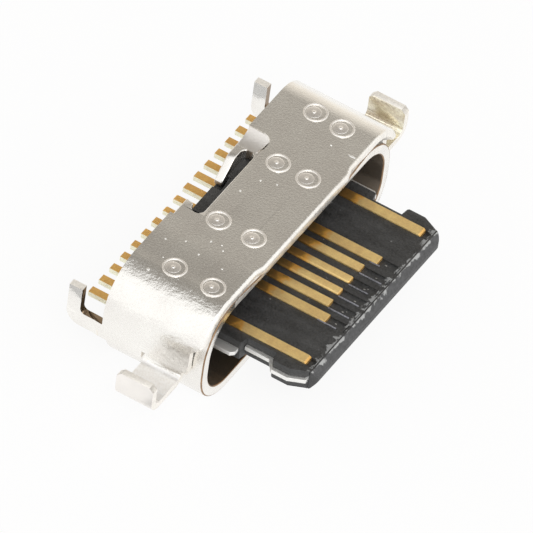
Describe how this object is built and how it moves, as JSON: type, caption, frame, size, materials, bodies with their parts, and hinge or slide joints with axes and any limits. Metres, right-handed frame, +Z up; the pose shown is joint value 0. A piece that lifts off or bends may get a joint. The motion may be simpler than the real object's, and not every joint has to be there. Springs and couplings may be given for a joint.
{
  "type": "usb-c socket",
  "caption": "Mid-mount USB-C socket: round-cornered steel mouth under a welded cover, with a contact tongue, side hooks and solder tails.",
  "frame": {"origin": "middle of the flat underside of the mouth tube", "axes": "+X across the mouth, the mouth opens towards -Y, +Z up from the flat underside to the cover"},
  "size_m": [0.0123, 0.0064, 0.0034],
  "materials": {
    "outer_cover": "matte nickel plating",
    "inner_shell": "satin nickel plating",
    "mid_plate": "satin",
    "upper_insulator": "matte",
    "lower_insulator": "matte",
    "tongue_nose": "matte",
    "upper_contact_1": "matte gold plating",
    "upper_contact_2": "matte gold plating",
    "upper_contact_3": "matte gold plating",
    "upper_contact_4": "matte gold plating",
    "upper_contact_5": "matte gold plating",
    "upper_contact_6": "matte gold plating",
    "upper_contact_7": "matte gold plating",
    "upper_contact_8": "matte gold plating",
    "lower_contact_1": "matte gold plating",
    "lower_contact_2": "matte gold plating",
    "lower_contact_3": "matte gold plating",
    "lower_contact_4": "matte gold plating",
    "lower_contact_5": "matte gold plating",
    "lower_contact_6": "matte gold plating",
    "lower_contact_7": "matte gold plating",
    "lower_contact_8": "matte gold plating"
  },
  "bodies": {
    "root": {"outer_cover": "outer_cover", "inner_shell": "inner_shell", "mid_plate": "mid_plate", "upper_insulator": "upper_insulator", "lower_insulator": "lower_insulator", "tongue_nose": "tongue_nose", "upper_contact_1": "upper_contact_1", "upper_contact_2": "upper_contact_2", "upper_contact_3": "upper_contact_3", "upper_contact_4": "upper_contact_4", "upper_contact_5": "upper_contact_5", "upper_contact_6": "upper_contact_6", "upper_contact_7": "upper_contact_7", "upper_contact_8": "upper_contact_8", "lower_contact_1": "lower_contact_1", "lower_contact_2": "lower_contact_2", "lower_contact_3": "lower_contact_3", "lower_contact_4": "lower_contact_4", "lower_contact_5": "lower_contact_5", "lower_contact_6": "lower_contact_6", "lower_contact_7": "lower_contact_7", "lower_contact_8": "lower_contact_8"}
  },
  "joints": []
}
